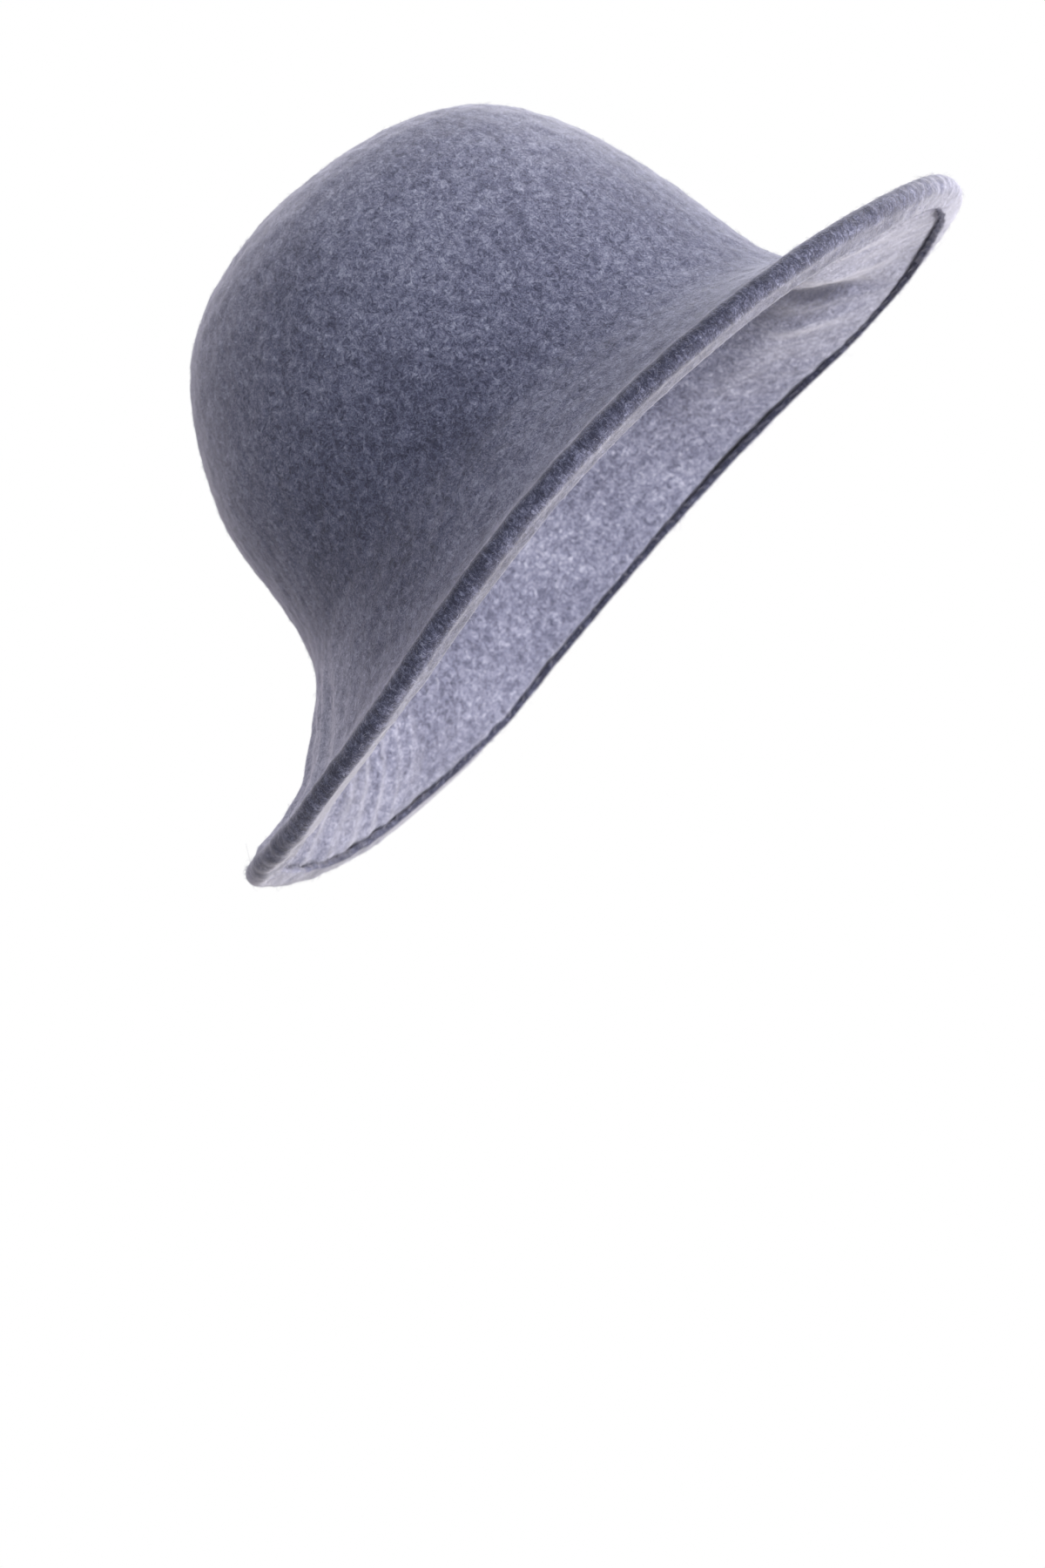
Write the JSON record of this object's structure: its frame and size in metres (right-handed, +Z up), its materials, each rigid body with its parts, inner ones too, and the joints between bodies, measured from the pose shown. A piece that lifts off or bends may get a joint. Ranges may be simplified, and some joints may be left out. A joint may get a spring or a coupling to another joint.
{
  "type": "brimmed wool felt hat",
  "caption": "Heather-grey wool-felt hat with a rounded cloche crown, a wavy brim with a rolled wired edge, and an inner petersham sweatband.",
  "frame": {"origin": "centre of the brim outline, on the plane the hat rests on", "axes": "+Z up through the crown, -Y towards the wearer's front, +X towards the wearer's left"},
  "size_m": [0.2434, 0.3335, 0.1666],
  "materials": {
    "felt": "heather-grey blocked wool felt, matt and slightly fuzzy",
    "millinery_wire": "steel wire wrapped in white cotton",
    "joiner_metal": "crimped tube",
    "thread": "grey sewing thread",
    "petersham": "dark grey ribbed petersham ribbon",
    "bow_ribbon": "dark grey narrow ribbon",
    "label_satin": "white woven satin"
  },
  "bodies": {
    "hat": {"felt_hood": "felt", "edge_wire": "millinery_wire", "wire_joiner": "joiner_metal", "hem_stitches": "thread", "sweatband": "petersham", "sweatband_stitches": "thread", "bow_loops": "bow_ribbon", "bow_knot": "bow_ribbon", "size_tab": "label_satin", "label_stitches": "thread"},
    "front_brim": {"felt_brim_front": "felt", "edge_wire_front": "millinery_wire", "hem_stitches_front": "thread"},
    "label": {"care_label": "label_satin"}
  },
  "joints": [
    {"name": "brim_front_flex", "type": "hinge", "parent": "hat", "child": "front_brim", "pos_m": [0, -0.118, 0.01], "axis": [-1, 0, 0], "range_deg": [-22, 25]},
    {"name": "care_label_flip", "type": "hinge", "parent": "hat", "child": "label", "pos_m": [0.0356, 0.07703, 0.07387], "axis": [0.8411, -0.5408, 0], "range_deg": [0, 100]}
  ]
}
